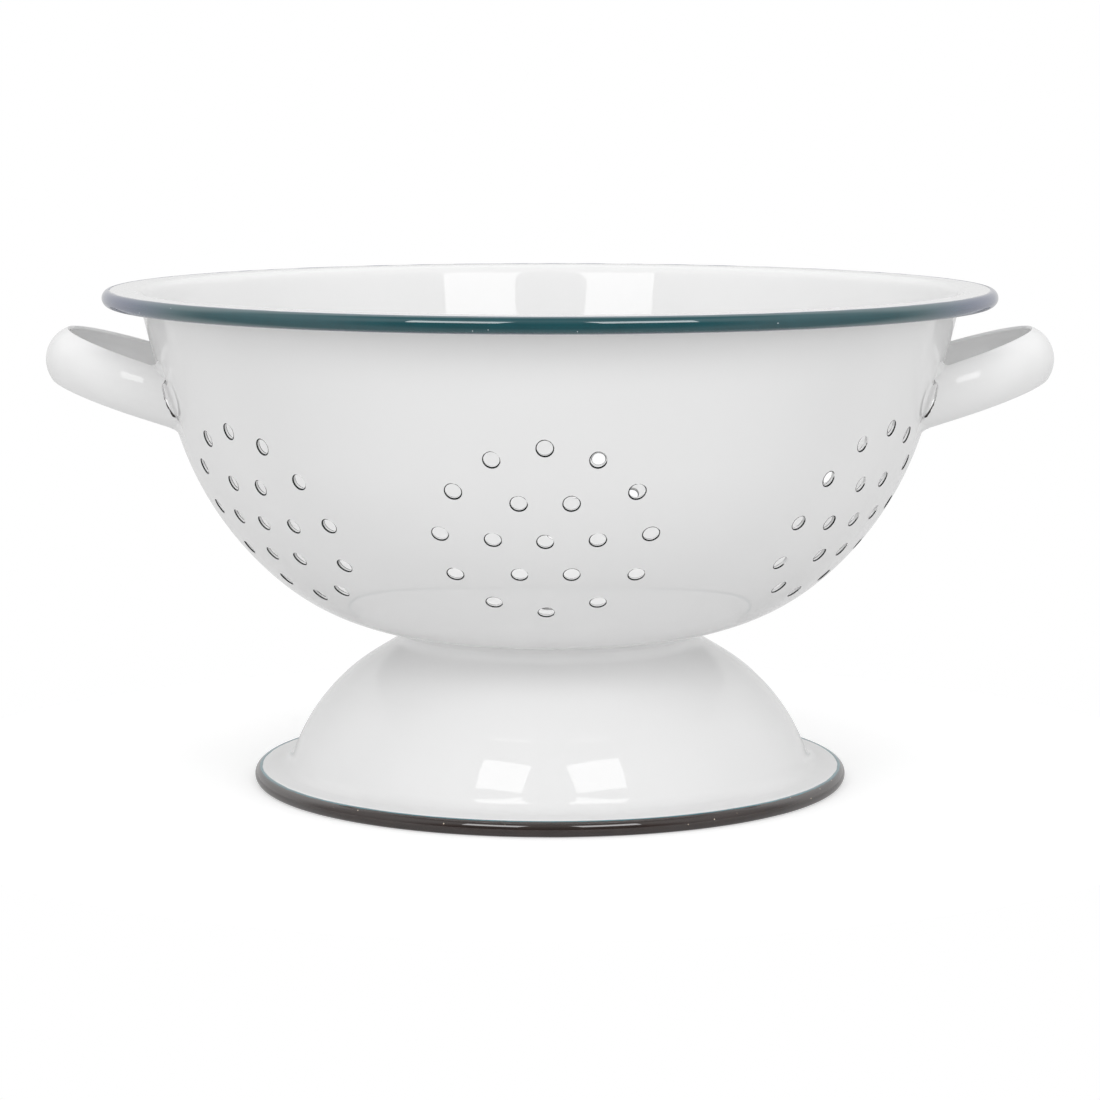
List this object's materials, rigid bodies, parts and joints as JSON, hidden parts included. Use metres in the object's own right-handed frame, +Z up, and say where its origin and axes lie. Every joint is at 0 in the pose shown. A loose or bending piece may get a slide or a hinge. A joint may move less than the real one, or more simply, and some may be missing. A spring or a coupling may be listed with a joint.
{
  "type": "colander",
  "caption": "Enamelled steel colander on a pressed foot, with clusters of drain holes, a curled rim and looped strap handles.",
  "frame": {"origin": "middle of the foot's standing ring, on the plane that the foot rests on", "axes": "+Z up along the bowl's axis, X through both handles, -Y towards the front cluster of holes"},
  "size_m": [0.2948, 0.2602, 0.1456],
  "materials": {
    "white_enamel": "glossy vitreous enamel on pressed steel",
    "teal_enamel": "glossy dark teal enamel over the curled rim",
    "dark_enamel": "dark brown ground enamel over the foot's edge, worn in small spots",
    "ground_enamel": "thin near-black ground enamel on the punched edges"
  },
  "bodies": {
    "root": {"bowl": "white_enamel", "foot": "white_enamel", "handle_left": "white_enamel", "handle_right": "white_enamel", "foot_weld_seam": "white_enamel", "handle_left_front_welds": "white_enamel", "handle_left_back_welds": "white_enamel", "handle_right_front_welds": "white_enamel", "handle_right_back_welds": "white_enamel", "rim_enamel_band": "teal_enamel", "foot_edge_band": "dark_enamel", "hole_edges_front": "ground_enamel", "hole_edges_front_right": "ground_enamel", "hole_edges_back_right": "ground_enamel", "hole_edges_back": "ground_enamel", "hole_edges_back_left": "ground_enamel", "hole_edges_front_left": "ground_enamel", "hole_edges_bottom": "ground_enamel"}
  },
  "joints": []
}
